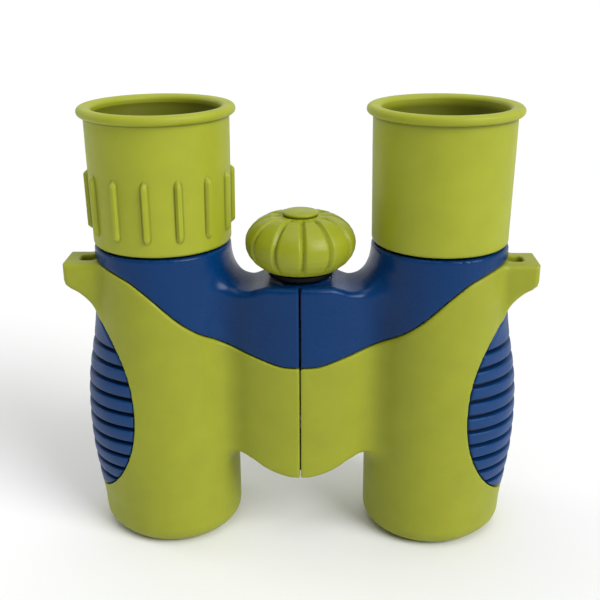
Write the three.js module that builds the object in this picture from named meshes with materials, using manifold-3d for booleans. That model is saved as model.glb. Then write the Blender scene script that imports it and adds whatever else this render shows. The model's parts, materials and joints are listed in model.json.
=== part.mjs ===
// Compact folding roof-prism binoculars, standing on their objective ends.
// Millimetres, +Z up towards the eyepieces. The eye looks along -Z and the focus wheel side faces -Y,
// so the user's right barrel is the one at -X. Both halves are built at +X and the right one is mirrored.
import * as THREE from "three";
import { mergeVertices } from "three/addons/utils/BufferGeometryUtils.js";
import Module from "manifold-3d";

const wasm = await Module();
wasm.setup();

// ---------------------------------------------------------------- driving dimensions
const GAP = 0.3; // between two pieces that touch
const BARREL_X = 35; // barrel axis from the middle of the object
const HINGE_Y = -5; // hinge and focus axis, towards the user's upper side
const FOLD_DEG = 58; // the halves close by this much in all
const NECK_R = 17.3; // housing above the armour
const BODY_R = 17.9; // armour where the web meets the barrel
const LOBE_R = 11.2; // hinge lobe
const FACE_R = 30; // the broad front of the web and hinge lobe
const SKIN = 1.6; // armour thickness
const NECK_TOP = 79.5;
const LOBE_TOP = 72.2;
const LOBE_BOTTOM = 20;
const PARTING = 0.15; // bare housing lies this far under the armour's surface
const WALL = 2; // housing wall beside the belly
const EYECUP_BASE = 80;
const EYECUP_TOP = 114.2;
const RIM_R = 19; // rolled rim of an eyecup
const WHEEL_R = 13.6;
const WHEEL_BASE = 74.2;
const WHEEL_TOP = 87.6;
const ROUND = 32; // sides of an outer round piece
const INNER = 20; // sides of the wall between housing and armour
const SMALL = 14; // sides of an inner round piece

const SHELL = GAP + SKIN; // housing surface under the armour surface
const HINGE = new THREE.Vector2(0, HINGE_Y);
const BARREL = new THREE.Vector2(BARREL_X, 0);
const ARM_ANGLE = Math.atan2(-HINGE_Y, BARREL_X); // from the hinge towards the barrel

// Colours of the moulded and turned materials.
const COLOUR = {
  armour: { color: 0xa3ad2c, roughness: 0.62, metalness: 0 },
  housing: { color: 0x1d4674, roughness: 0.38, metalness: 0 },
  black: { color: 0x141416, roughness: 0.5, metalness: 0 },
  glass: { color: 0xcfe0ea, roughness: 0.05, metalness: 0 },
  steel: { color: 0x9a9da1, roughness: 0.35, metalness: 1 },
  brass: { color: 0xb5964a, roughness: 0.4, metalness: 1 },
};

// ---------------------------------------------------------------- shapes and booleans

// A closed three.js geometry as a solid, with its faces turned outwards.
function solid(geometry) {
  const plain = geometry.index ? geometry.toNonIndexed() : geometry.clone();
  plain.deleteAttribute("normal");
  plain.deleteAttribute("uv");
  const merged = mergeVertices(plain, 1e-4);
  const vertProperties = new Float32Array(merged.attributes.position.array);
  const triVerts = new Uint32Array(merged.index.array);
  const made = new wasm.Manifold(new wasm.Mesh({ numProp: 3, vertProperties, triVerts }));
  if (made.volume() > 0) return made;
  for (let i = 0; i < triVerts.length; i += 3) {
    const first = triVerts[i];
    triVerts[i] = triVerts[i + 1];
    triVerts[i + 1] = first;
  }
  return new wasm.Manifold(new wasm.Mesh({ numProp: 3, vertProperties, triVerts }));
}

function joined(first, ...others) {
  return others.reduce((whole, next) => whole.add(next), first);
}

function cut(first, ...tools) {
  return tools.reduce((whole, tool) => whole.subtract(tool), first);
}

// A ring or plug about a vertical axis; profile holds [radius, z] pairs in order round its section.
function turned(profile, sides = SMALL, x = BARREL_X, y = 0) {
  const points = profile.map(([r, z]) => new THREE.Vector2(r, z));
  if (profile[0][0] > 0) points.push(points[0].clone());
  const geometry = new THREE.LatheGeometry(points, sides);
  geometry.rotateX(Math.PI / 2);
  geometry.translate(x, y, 0);
  return solid(geometry);
}

function tube(inner, outer, z0, z1, sides = SMALL, x = BARREL_X, y = 0) {
  return turned([[inner, z0], [outer, z0], [outer, z1], [inner, z1]], sides, x, y);
}

function rod(radius, z0, z1, sides = SMALL, x = BARREL_X, y = 0) {
  return turned([[0, z0], [radius, z0], [radius, z1], [0, z1]], sides, x, y);
}

// A disc of glass between two spherical faces; bulge is how far each face stands past its rim.
function lens(radius, z0, z1, lowBulge, highBulge) {
  const steps = 3;
  const profile = [];
  for (let i = 0; i <= steps; i++) {
    const r = (radius * i) / steps;
    profile.push([r, z0 - lowBulge * (1 - (i / steps) ** 2)]);
  }
  for (let i = steps; i >= 0; i--) {
    const r = (radius * i) / steps;
    profile.push([r, z1 + highBulge * (1 - (i / steps) ** 2)]);
  }
  return turned(profile);
}

// A flat outline extruded along Z, along Y (outline in X and Z) or along X (outline in Y and Z).
function extruded(points, depth) {
  return new THREE.ExtrudeGeometry(new THREE.Shape(points), { depth, bevelEnabled: false });
}

function slabZ(points, z0, z1) {
  const geometry = extruded(points, z1 - z0);
  geometry.translate(0, 0, z0);
  return solid(geometry);
}

function slabY(points, y0, y1) {
  const geometry = extruded(points, y1 - y0);
  geometry.rotateX(Math.PI / 2);
  geometry.translate(0, y1, 0);
  return solid(geometry);
}

function slabX(points, x0, x1) {
  const geometry = extruded(points, x1 - x0);
  const turn = new THREE.Matrix4().makeBasis(
    new THREE.Vector3(0, 1, 0),
    new THREE.Vector3(0, 0, 1),
    new THREE.Vector3(1, 0, 0),
  );
  geometry.applyMatrix4(turn);
  geometry.translate(x0, 0, 0);
  return solid(geometry);
}

// A block from the hinge axis towards the barrel, between two distances from that axis.
function armBlock(near, far, width, z0, z1) {
  const geometry = new THREE.BoxGeometry(far - near, width, z1 - z0);
  geometry.translate((near + far) / 2, 0, (z0 + z1) / 2);
  geometry.rotateZ(ARM_ANGLE);
  geometry.translate(HINGE.x, HINGE.y, 0);
  return solid(geometry);
}

function pair(list) {
  return list.map(([x, y]) => new THREE.Vector2(x, y));
}

function arc(centre, radius, from, to, steps) {
  return Array.from({ length: steps + 1 }, (_, i) => {
    const angle = from + ((to - from) * i) / steps;
    return new THREE.Vector2(centre.x + radius * Math.cos(angle), centre.y + radius * Math.sin(angle));
  });
}

// Centre of a circle of radius r that touches two circles from outside, on one side of their centre line.
function touching(a, ra, b, rb, r, side) {
  const line = b.clone().sub(a);
  const apart = line.length();
  line.normalize();
  const along = ((ra + r) ** 2 - (rb + r) ** 2 + apart ** 2) / (2 * apart);
  const off = side * Math.sqrt((ra + r) ** 2 - along ** 2);
  return new THREE.Vector2(a.x + line.x * along - line.y * off, a.y + line.y * along + line.x * off);
}

// Plan of one half's web and hinge lobe, lying `inset` under the armour surface; it ends inside the barrel.
// Its front is one shallow arc that meets the barrel in a fillet, its back the lobe and a wider fillet.
// A cutting tool runs on past the seam and the back face.
const SEAM = GAP / 2;
const FRONT_FILLET = 5;
const BACK_FILLET = 8;
const FACE = new THREE.Vector2(0, HINGE_Y - LOBE_R + FACE_R);
// Where the lobe stops at the back, so that the halves can close.
const BACK_CUT = THREE.MathUtils.degToRad(90 - FOLD_DEG / 2 - 2.5);
function webPlan(inset, tool = false) {
  const face = FACE_R - inset;
  const lobe = LOBE_R - inset;
  const barrel = BODY_R - inset;
  const hollow = { front: FRONT_FILLET + inset, back: BACK_FILLET + inset };
  const seam = tool ? -1 : SEAM;
  const backFace = tool ? BACK_CUT + 0.12 : BACK_CUT;
  const front = touching(FACE, face, BARREL, barrel, hollow.front, -1);
  const back = touching(HINGE, lobe, BARREL, barrel, hollow.back, 1);
  const bearing = (from, to) => Math.atan2(to.y - from.y, to.x - from.x);
  return [
    new THREE.Vector2(seam, HINGE_Y),
    new THREE.Vector2(seam, FACE.y - Math.sqrt(face ** 2 - seam ** 2)),
    ...arc(FACE, face, -Math.PI / 2, bearing(FACE, front), 4).slice(1),
    ...arc(front, hollow.front, bearing(front, FACE), bearing(front, BARREL), 4).slice(1),
    BARREL,
    ...arc(back, hollow.back, bearing(back, BARREL), bearing(back, HINGE), 4),
    ...arc(HINGE, lobe, bearing(HINGE, back), backFace, 1).slice(1),
  ];
}

// The web seen from the front is a little lower at its ends than at the hinge.
const WEB_SAG = { start: 7, end: 16.6, top: 1.9, bottom: 3.1 };
function web(inset, low, high, tool = false) {
  const { start, end, top, bottom } = WEB_SAG;
  const front = pair([
    [-4, low], [start, low], [end, low + bottom], [60, low + bottom], [60, high - top], [end, high - top],
    [start, high], [-4, high],
  ]);
  return slabZ(webPlan(inset, tool), low - 1, high + 1).intersect(slabY(front, -30, 30));
}

// ---------------------------------------------------------------- the moulded outside of one half

// Height of the armour's upper edge over the plan's X: it climbs in a wave from the hinge to the strap lug.
const EDGE = new THREE.SplineCurve(pair([
  [-4, 50.8], [3, 50.9], [10.7, 52.8], [18, 55.1], [23.3, 58.1], [29.2, 62.8],
  [37.2, 70.4], [42, 73.7], [48, 75.6], [54, 76.4], [66, 76.4],
]));
function underEdge(rise) {
  const edge = EDGE.getPoints(16).map((p) => new THREE.Vector2(p.x, p.y + rise));
  return slabY([...pair([[66, -10], [-4, -10]]), ...edge], -30, 30);
}

// Radius of the armoured barrel, and the belly on its outer side, which turns about its own axis.
const BARREL_PROFILE = [[13.7, 0], [15.7, 0.6], [17.2, 2.1], [17.9, 4.6], [17.9, 60], [17.5, 80]];
const BELLY_X = 40.4;
const BELLY_PROFILE = [
  [10, 0], [12.8, 1.4], [13.9, 4.6], [15.4, 16], [16.5, 30], [16.2, 41], [14.7, 51], [11, 67],
];

function barrelSolid() {
  return turned([[0, 0], ...BARREL_PROFILE, [0, 80]], ROUND);
}

function bellySolid(shrink, low = 0, high = 67) {
  const wall = BELLY_PROFILE.map(([r, z]) => [r - shrink, z]);
  const sides = shrink > 0 ? INNER : ROUND;
  const whole = turned([[0, 0], ...wall, [0, 67]], sides, BELLY_X);
  return whole.intersect(rod(40, low, high, 8));
}

// The grip's outline on the side of the barrel is a superellipse in Y and Z.
const GRIP = { z: 37.8, halfHeight: 26, halfWidth: 16.3, power: 2.4 };
function gripPrism(grow, x0) {
  const rim = Array.from({ length: 28 }, (_, i) => {
    const angle = (i / 28) * 2 * Math.PI;
    const along = Math.sign(Math.cos(angle)) * Math.abs(Math.cos(angle)) ** (2 / GRIP.power);
    const up = Math.sign(Math.sin(angle)) * Math.abs(Math.sin(angle)) ** (2 / GRIP.power);
    return new THREE.Vector2((GRIP.halfWidth + grow) * along, GRIP.z + (GRIP.halfHeight + grow) * up);
  });
  return slabX(rim, x0, BARREL_X + 30);
}

const HOUSING_R = 16.2; // housing under the armour
const MOUTH_R = 12.6;
const LUG = { top: 76, front: -9.5, back: 2.5, slotX: 52, slotLength: 5, slotWidth: 5 };

function strapLug() {
  const side = pair([
    [46, LUG.top], [58.4, LUG.top], [59.2, 75.3], [59.2, 72.3], [58.7, 71.1],
    [57.9, 70.5], [55.6, 69.3], [53.4, 67.6], [51.3, 64.4], [46, 56],
  ]);
  return slabY(side, LUG.front, LUG.back);
}

function strapSlot() {
  const middle = (LUG.front + LUG.back) / 2;
  const r = LUG.slotWidth / 2;
  const far = LUG.slotX + LUG.slotLength;
  const bend = 1.4;
  const outline = [
    new THREE.Vector2(LUG.slotX, middle - r),
    ...arc(new THREE.Vector2(far - bend, middle - r + bend), bend, -Math.PI / 2, 0, 3),
    ...arc(new THREE.Vector2(far - bend, middle + r - bend), bend, 0, Math.PI / 2, 3),
    new THREE.Vector2(LUG.slotX, middle + r),
  ];
  return slabZ(outline, 50, 80);
}

function armour() {
  const skin = joined(
    barrelSolid(),
    bellySolid(0),
    web(0, LOBE_BOTTOM, LOBE_TOP),
    strapLug(),
  );
  return cut(
    skin.intersect(underEdge(0)),
    core(SKIN),
    rod(MOUTH_R, -1, 3, ROUND),
    rod(KNUCKLE.clear, 0, 90, SMALL, 0, HINGE_Y),
    gripPrism(0, BARREL_X + 2),
    strapSlot(),
  );
}

// What the armour and the grip are wrapped round.
function core(inset) {
  return joined(
    rod(HOUSING_R + SHELL - inset, inset, 90, INNER),
    bellySolid(inset, inset),
    web(inset, LOBE_BOTTOM + inset, 90, true),
  );
}

// Ribbed insert on the outer side, with level grooves cut round its belly.
const GRIP_GROOVES = { count: 10, first: 17.4, pitch: 4.13, width: 0.8, depth: 0.9 };
function grip() {
  const grooves = Array.from({ length: GRIP_GROOVES.count }, (_, i) => {
    const z = GRIP_GROOVES.first + i * GRIP_GROOVES.pitch;
    const r = bellyRadius(z) - GRIP_GROOVES.depth;
    return tube(r, 20, z - GRIP_GROOVES.width / 2, z + GRIP_GROOVES.width / 2, INNER, BELLY_X);
  });
  const outside = barrelSolid().add(bellySolid(0));
  return cut(outside.intersect(gripPrism(-GAP, BARREL_X + 2)), core(SKIN), ...grooves);
}

function bellyRadius(z) {
  const above = BELLY_PROFILE.findIndex(([, height]) => height > z);
  const [r0, z0] = BELLY_PROFILE[above - 1];
  const [r1, z1] = BELLY_PROFILE[above];
  return r0 + ((r1 - r0) * (z - z0)) / (z1 - z0);
}

// ---------------------------------------------------------------- housing, with its share of the hinge

const KNUCKLE = { bore: 4.5, radius: 7.6, clear: 7.9 };
const KNUCKLES = {
  left: [[51.4, 60.8], [22.4, 28]],
  right: [[62.2, 71.7], [40.6, 50]],
};
const CHAMBER = { radius: 8.2, low: 28.3, high: 40.3 }; // room for the focus yoke

function housing(side) {
  const outside = joined(
    rod(NECK_R, SHELL, NECK_TOP, ROUND),
    bellySolid(SHELL, SHELL),
    web(PARTING, LOBE_BOTTOM, LOBE_TOP),
    neckFlare(),
  );
  const inside = core(SHELL);
  const shell = cut(
    outside,
    cut(underEdge(GAP), inside),
    rod(KNUCKLE.clear, 0, 90, SMALL, 0, HINGE_Y),
    rod(CHAMBER.radius, CHAMBER.low, CHAMBER.high, SMALL, 0, HINGE_Y),
  );
  const knuckles = KNUCKLES[side].map(([z0, z1]) => {
    const ring = rod(KNUCKLE.radius, z0, z1, SMALL, 0, HINGE_Y);
    return ring.add(slabZ(webPlan(SHELL), z0, z1).intersect(inside));
  });
  return cut(
    joined(shell, ...knuckles),
    barrelBore(),
    bellySolid(SHELL + WALL, 5, 60),
    rod(KNUCKLE.bore, 0, 90, SMALL, 0, HINGE_Y),
    armBlock(6, ARM.end - 0.2, ARM.width + 0.8, CHAMBER.low, CHAMBER.high - 2.3),
  );
}

// The web rises into the neck in a hollow curve.
function neckFlare() {
  const flare = turned([[0, 69], [23, 69], [20.3, 71.2], [18.4, 74], [NECK_R, 77.6], [0, 77.6]], ROUND);
  return flare.intersect(slabZ(webPlan(PARTING), 68, 78));
}

function barrelBore() {
  return turned([
    [0, -1], [12, -1], [12, 3.6], [13.8, 3.6], [13.8, 39.6], [12.4, 39.6], [12.4, 42], [14.5, 42],
    [14.5, 71], [15.1, 71], [15.1, 90], [0, 90],
  ], INNER);
}

// ---------------------------------------------------------------- eyepiece

function eyecup(side) {
  const wide = side === "right" ? 0.2 : 0; // the dioptre side is moulded a little larger
  const cup = turned([
    [15.6, EYECUP_BASE], [16.8 + wide, EYECUP_BASE], [17.1 + wide, EYECUP_BASE + 0.5],
    [17.3 + wide, 92], [17.45 + wide, 109], [17.7 + wide, 110.4], [18.5 + wide, 110.9],
    [RIM_R + wide, 112], [RIM_R + wide, 113], [18.4 + wide, 113.9],
    [17.4, EYECUP_TOP], [16.2, 113.8], [15.7, 112.8], [15.7, 103], [15.6, 100.8],
  ], ROUND);
  if (side === "left") return cup;
  const ribs = Array.from({ length: DIOPTRE_RIBS.count }, (_, i) => {
    const bar = new THREE.BoxGeometry(DIOPTRE_RIBS.height * 2, DIOPTRE_RIBS.width, DIOPTRE_RIBS.length);
    bar.translate(17.35, 0, DIOPTRE_RIBS.z);
    bar.rotateZ((i / DIOPTRE_RIBS.count) * 2 * Math.PI + DIOPTRE_RIBS.first);
    bar.translate(BARREL_X, 0, 0);
    return solid(bar);
  });
  return joined(cup, ...ribs);
}
const DIOPTRE_RIBS = { count: 14, width: 1.6, height: 0.85, length: 14.4, z: 91, first: 1.62 };

function eyepieceSleeve() {
  return turned([
    [12.2, 72.5], [14.8, 72.5], [14.8, EYECUP_BASE], [15.3, EYECUP_BASE + 0.2],
    [15.3, 100.4], [14.6, 101], [12.2, 101],
  ], SMALL + 4);
}

function eyepieceCell(side) {
  const cell = turned([
    [9.3, 66.3], [11.9, 66.3], [11.9, 100.4], [11.4, 100.9],
    [10, 100.9], [7.9, 99.2], [7.9, 98.6], [9.3, 98.6],
  ], SMALL + 4);
  if (side === "left") return cell;
  const slot = new THREE.BoxGeometry(6, 2.2, 5);
  slot.translate(BARREL_X + 11, 0, KEY_Z);
  return cell.subtract(solid(slot));
}

// A short pin from the housing that keeps the cell from turning while it slides.
const KEY_Z = 69.2;
function eyepieceKey() {
  const pin = new THREE.CylinderGeometry(0.8, 0.8, 3.6, 12);
  pin.rotateZ(Math.PI / 2);
  pin.translate(BARREL_X + 12.4, 0, KEY_Z);
  return solid(pin);
}

const EYEPIECE = {
  eye_lens_crown: ["glass", () => lens(9, 95.9, 97.5, 1.2, 0.8)],
  eye_lens_flint: ["glass", () => lens(9, 92.6, 95.5, 0.2, -1.2)],
  eyepiece_spacer: ["black", () => tube(7.8, 9, 86.6, 92.1)],
  field_lens: ["glass", () => lens(9, 84.2, 86, -0.1, 1.5)],
  field_stop: ["black", () => tube(5.6, 9, 82.6, 83.6)],
  eyepiece_lock_ring: ["black", () => tube(7.6, 9, 79.8, 82.3)],
};

// ---------------------------------------------------------------- prisms

const PRISM = { half: 5.6, base: 44.6, air: 0.25 }; // half the aperture, height of the entry face, air gap
const PRISM_RISE = 1 + Math.SQRT2; // height of the set over half the aperture

// The half-penta prism: the beam enters below, turns twice and leaves square to its sloping face.
function halfPentaPrism() {
  const a = PRISM.half;
  const outline = pair([[-a, 0], [a, 0], [1.829 * a, 2 * a], [Math.SQRT2 * a, PRISM_RISE * a]]);
  return slabX(outline.map((p) => p.add(new THREE.Vector2(0, PRISM.base))), BARREL_X - a, BARREL_X + a);
}

// The roof prism: a 45-67.5-67.5 triangle whose long outer face is a right-angled roof.
function roofPrism() {
  const a = PRISM.half;
  const shift = new THREE.Vector2(-PRISM.air, PRISM.base + PRISM.air);
  const outline = pair([[-a, 0], [Math.SQRT2 * a, PRISM_RISE * a], [-2 * a, PRISM_RISE * a]]);
  const block = slabX(outline.map((p) => p.add(shift)), BARREL_X - a, BARREL_X + a);
  const section = new THREE.Shape(pair([[0, 0], [a, -a], [5 * a, -a], [5 * a, a], [a, a]]));
  const roof = new THREE.ExtrudeGeometry(section, { depth: 8 * a, bevelEnabled: false });
  roof.translate(0, 0, -4 * a);
  // Local X runs into the glass from the ridge, local Y across the barrel and local Z along the ridge.
  const inward = new THREE.Vector3(0, Math.cos(Math.PI / 8), Math.sin(Math.PI / 8));
  const across = new THREE.Vector3(1, 0, 0);
  roof.applyMatrix4(new THREE.Matrix4().makeBasis(inward, across, inward.clone().cross(across)));
  roof.translate(BARREL_X, -a + shift.x, shift.y);
  return block.intersect(solid(roof));
}

function prismCage() {
  const pocket = new THREE.BoxGeometry(2 * PRISM.half + 0.7, 23.6, 30);
  pocket.translate(BARREL_X, 0, PRISM.base - GAP + 15);
  return cut(rod(14.2, 42.3, 59.4, SMALL + 4), solid(pocket), rod(5.9, 40, 50));
}

// ---------------------------------------------------------------- objective and its focus arm

const CELL_TOP = 32.3;
const ARM = { thick: 1.7, width: 3.6, ringInner: 5.7, ringOuter: 7.6, end: 24.2, screw: 23 };
const ARM_LEVEL = { left: 32.7, right: 34.9 }; // underside of each arm's ring on the yoke

function armScrewHole(radius, z0, z1) {
  const x = HINGE.x + ARM.screw * Math.cos(ARM_ANGLE);
  const y = HINGE.y + ARM.screw * Math.sin(ARM_ANGLE);
  return rod(radius, z0, z1, 12, x, y);
}

function objectiveCell() {
  const barrel = turned([
    [11.2, 7.4], [13.4, 7.4], [13.4, CELL_TOP], [11.2, CELL_TOP],
    [11.2, 16.2], [10.1, 16.2], [10.1, 15.2], [11.2, 15.2],
  ], SMALL + 4);
  return cut(barrel, armScrewHole(0.7, 28, 40));
}

function focusArm(side) {
  const low = ARM_LEVEL[side];
  const foot = armBlock(ARM.end - 2.6, ARM.end, ARM.width, CELL_TOP + GAP, low + ARM.thick);
  const ring = tube(ARM.ringInner, ARM.ringOuter, low, low + ARM.thick, SMALL, 0, HINGE_Y);
  const bar = armBlock(6.6, ARM.end, ARM.width, low, low + ARM.thick);
  return cut(joined(ring, bar, foot), armScrewHole(0.8, 20, 60));
}

function armScrew(side) {
  const top = ARM_LEVEL[side] + ARM.thick;
  return armScrewHole(0.5, 28.4, top + 0.5).add(armScrewHole(1.2, top + GAP, top + 0.9));
}

const OBJECTIVE = {
  objective_ring: ["black", () => tube(10.2, 10.9, 7.6, 9)],
  objective_crown: ["glass", () => lens(10.9, 10, 11.6, 0.7, 1.1)],
  objective_flint: ["glass", () => lens(10.9, 12.1, 14.9, -1.1, 0.1)],
};

// ---------------------------------------------------------------- hinge and focus drive

function onHinge(profile, sides = SMALL) {
  return turned(profile, sides, 0, HINGE_Y);
}

function hingeTube(inner, outer, z0, z1) {
  return tube(inner, outer, z0, z1, SMALL, 0, HINGE_Y);
}

function hingeAxle() {
  const window = new THREE.BoxGeometry(12, 2.2, 11);
  window.translate(0, HINGE_Y, 34.2);
  return cut(hingeTube(3.2, 4.2, 22.4, 73.8), solid(window));
}

// Fills the space between two knuckles, less a gap above and below.
function washer(z) {
  return hingeTube(KNUCKLE.bore, 7.4, z, z + 0.8);
}

function focusCollar() {
  return hingeTube(KNUCKLE.bore, 8.1, LOBE_TOP + GAP, WHEEL_BASE - GAP);
}

function axleScrew() {
  return onHinge([[0, 20.7], [4, 20.7], [4, 22.1], [2.9, 22.1], [2.9, 27.6], [0, 27.6]]);
}

function hingeCap() {
  return onHinge([[0, 19.5], [5.9, 19.5], [6.8, 20.2], [6.8, 22.1], [4.3, 22.1], [4.3, 20.4], [0, 20.4]]);
}

function focusSpindle() {
  return onHinge([
    [0, 30], [1.3, 30], [1.3, 42], [2.9, 42.6], [2.9, 82], [1.6, 82], [1.6, 75], [0, 75],
  ]);
}

const YOKE = { low: 30.9, high: 39, flange: 7.2, core: 5.4 };
function yokePinHoles(radius) {
  const pin = new THREE.CylinderGeometry(radius, radius, 20, 12);
  pin.rotateZ(Math.PI / 2);
  pin.translate(0, HINGE_Y, 35);
  return solid(pin);
}

function focusNut() {
  return cut(hingeTube(1.6, 2.9, 31.5, 38.5), yokePinHoles(0.9));
}

function focusYoke() {
  const body = onHinge([
    [4.5, YOKE.low], [YOKE.flange, YOKE.low], [YOKE.flange, 32.3],
    [YOKE.core, 32.3], [YOKE.core, YOKE.high], [4.5, YOKE.high],
  ]);
  return cut(body, yokePinHoles(0.9));
}

function yokePin(sign) {
  const pin = new THREE.CylinderGeometry(0.6, 0.6, 3.4, 12);
  pin.rotateZ(Math.PI / 2);
  pin.translate(sign * 3.6, HINGE_Y, 35);
  return solid(pin);
}

// Twelve lobes with a narrow valley between each pair, like a pumpkin.
const WHEEL_LOBES = 12;
const VALLEY = { depth: 0.55, sharp: 10 };
const WHEEL_PROFILE = [
  [0, WHEEL_BASE], [8.6, WHEEL_BASE], [11.2, 76.1], [13, 78.4], [WHEEL_R, 80.9], [13.2, 83.2], [11.6, 85.2],
  [8.8, 86.7], [6, WHEEL_TOP - 0.4], [4.6, WHEEL_TOP], [0, WHEEL_TOP],
];
function focusWheel() {
  const points = WHEEL_PROFILE.map(([r, z]) => new THREE.Vector2(r, z));
  const body = new THREE.LatheGeometry(points, WHEEL_LOBES * 4);
  body.rotateX(Math.PI / 2);
  const position = body.attributes.position;
  for (let i = 0; i < position.count; i++) {
    const x = position.getX(i);
    const y = position.getY(i);
    const r = Math.hypot(x, y);
    if (r < 5) continue;
    const valley = Math.abs(Math.cos((Math.atan2(x, y) * WHEEL_LOBES) / 2)) ** VALLEY.sharp;
    const scale = 1 - (VALLEY.depth * valley) / r;
    position.setXY(i, x * scale, y * scale);
  }
  body.translate(0, HINGE_Y, 0);
  return cut(
    solid(body),
    onHinge([[0, 70], [3.2, 70], [3.2, 82.3], [0, 82.3]]),
    onHinge([[0, 80], [1.6, 80], [1.6, 90], [0, 90]]),
    onHinge([[0, 84.3], [3.8, 84.3], [3.8, 90], [0, 90]]),
  );
}

function wheelCap() {
  return onHinge([
    [0, 86.9], [3.5, 86.9], [3.5, WHEEL_TOP + GAP], [4.35, WHEEL_TOP + GAP],
    [4.2, 88.5], [3.6, 88.8], [0, 88.9],
  ]);
}

function wheelScrew() {
  return onHinge([[0, 77], [1.3, 77], [1.3, 84.6], [3.4, 84.6], [3.4, 85.9], [2.6, 86.6], [0, 86.6]]);
}

// ---------------------------------------------------------------- assembly

// A piece of the right half is the mirror image of the left one's, so its corners run the other way round.
function mesh(name, finish, manifold, mirrored = false) {
  const { vertProperties, triVerts, numProp } = manifold.getMesh();
  const positions = new Float32Array((vertProperties.length / numProp) * 3);
  for (let i = 0; i < positions.length / 3; i++) {
    positions.set(vertProperties.subarray(i * numProp, i * numProp + 3), i * 3);
    if (mirrored) positions[i * 3] *= -1;
  }
  const corners = new Uint32Array(triVerts);
  if (mirrored) corners.reverse();
  const geometry = new THREE.BufferGeometry();
  geometry.setAttribute("position", new THREE.BufferAttribute(positions, 3));
  geometry.setIndex(new THREE.BufferAttribute(corners, 1));
  geometry.computeVertexNormals();
  const made = new THREE.Mesh(geometry, new THREE.MeshStandardMaterial(COLOUR[finish]));
  made.name = name;
  return made;
}

// Everything that belongs to one half, built at +X; the right half is its mirror image.
function half(side) {
  const group = new THREE.Group();
  const put = (name, finish, manifold) => {
    group.add(mesh(`${side}_${name}`, finish, manifold, side === "right"));
  };
  put("housing", "housing", housing(side));
  put("armour", "armour", armour());
  put("grip", "housing", grip());
  put("eyecup", "armour", eyecup(side));
  put("eyepiece_sleeve", "black", eyepieceSleeve());
  put("eyepiece_cell", "black", eyepieceCell(side));
  if (side === "right") put("eyepiece_key", "steel", eyepieceKey());
  for (const [name, [finish, make]] of Object.entries(EYEPIECE)) put(name, finish, make());
  put("prism_cage", "black", prismCage());
  put("half_penta_prism", "glass", halfPentaPrism());
  put("roof_prism", "glass", roofPrism());
  put("prism_retainer", "steel", tube(6.5, 13.8, 59.7, 60.5));
  put("objective_cell", "black", objectiveCell());
  for (const [name, [finish, make]] of Object.entries(OBJECTIVE)) put(name, finish, make());
  put("focus_arm", "steel", focusArm(side));
  put("arm_screw", "steel", armScrew(side));
  return group;
}

const binoculars = new THREE.Group();
binoculars.add(half("left"), half("right"));
binoculars.add(mesh("hinge_axle", "steel", hingeAxle()));
binoculars.add(mesh("axle_screw", "steel", axleScrew()));
binoculars.add(mesh("hinge_cap", "black", hingeCap()));
binoculars.add(mesh("upper_hinge_washer", "black", washer(61.1)));
binoculars.add(mesh("lower_hinge_washer", "black", washer(50.3)));
binoculars.add(mesh("focus_collar", "black", focusCollar()));
binoculars.add(mesh("focus_spindle", "brass", focusSpindle()));
binoculars.add(mesh("focus_nut", "brass", focusNut()));
binoculars.add(mesh("focus_yoke", "black", focusYoke()));
binoculars.add(mesh("yoke_clip", "steel", hingeTube(5.7, 7.2, 37, 37.8)));
binoculars.add(mesh("left_yoke_pin", "steel", yokePin(1)));
binoculars.add(mesh("right_yoke_pin", "steel", yokePin(-1)));
binoculars.add(mesh("focus_wheel", "armour", focusWheel()));
binoculars.add(mesh("focus_wheel_cap", "armour", wheelCap()));
binoculars.add(mesh("wheel_screw", "steel", wheelScrew()));

export default binoculars;
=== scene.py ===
"""Compact folding binoculars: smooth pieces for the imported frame, with materials, light and camera.

Sizes are in millimetres until a mesh is made. Both halves are shaped at +X, and the right one is mirrored.
A field is a function of x, y and z that gives the distance to a shape's surface, and is negative inside it.
"""

import json
import math

import bpy
import numpy as np
from mathutils import Euler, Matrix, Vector


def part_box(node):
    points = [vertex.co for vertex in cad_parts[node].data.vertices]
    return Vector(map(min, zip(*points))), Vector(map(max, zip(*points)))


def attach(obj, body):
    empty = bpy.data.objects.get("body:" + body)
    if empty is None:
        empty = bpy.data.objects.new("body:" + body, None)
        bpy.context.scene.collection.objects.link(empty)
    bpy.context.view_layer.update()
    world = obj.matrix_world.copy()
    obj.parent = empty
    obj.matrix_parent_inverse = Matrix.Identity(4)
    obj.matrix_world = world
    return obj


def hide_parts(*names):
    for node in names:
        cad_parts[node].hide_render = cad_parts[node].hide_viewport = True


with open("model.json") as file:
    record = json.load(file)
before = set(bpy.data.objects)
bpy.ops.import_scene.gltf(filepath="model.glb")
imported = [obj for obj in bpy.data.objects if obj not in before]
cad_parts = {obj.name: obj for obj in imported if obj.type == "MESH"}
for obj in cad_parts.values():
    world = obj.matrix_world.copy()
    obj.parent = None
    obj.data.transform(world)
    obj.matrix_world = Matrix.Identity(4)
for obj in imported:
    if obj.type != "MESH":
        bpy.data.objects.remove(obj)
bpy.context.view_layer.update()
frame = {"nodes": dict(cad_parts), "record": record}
MM = 0.001


def span(node):
    """Lowest and highest corner of a CAD node, in millimetres."""
    return [np.array(corner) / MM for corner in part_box(node)]


def middle(node):
    """Centre of a CAD node's box, in millimetres."""
    low, high = span(node)
    return (low + high) / 2


# ------------------------------------------------------------------ driving sizes

BARREL_X = middle("left_eyecup")[0]
HINGE_Y = middle("focus_wheel")[1]
NECK_TOP = span("left_housing")[1][2]
EYECUP_BASE = span("left_eyecup")[0][2]
WHEEL_BASE = span("focus_wheel")[0][2]

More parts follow.
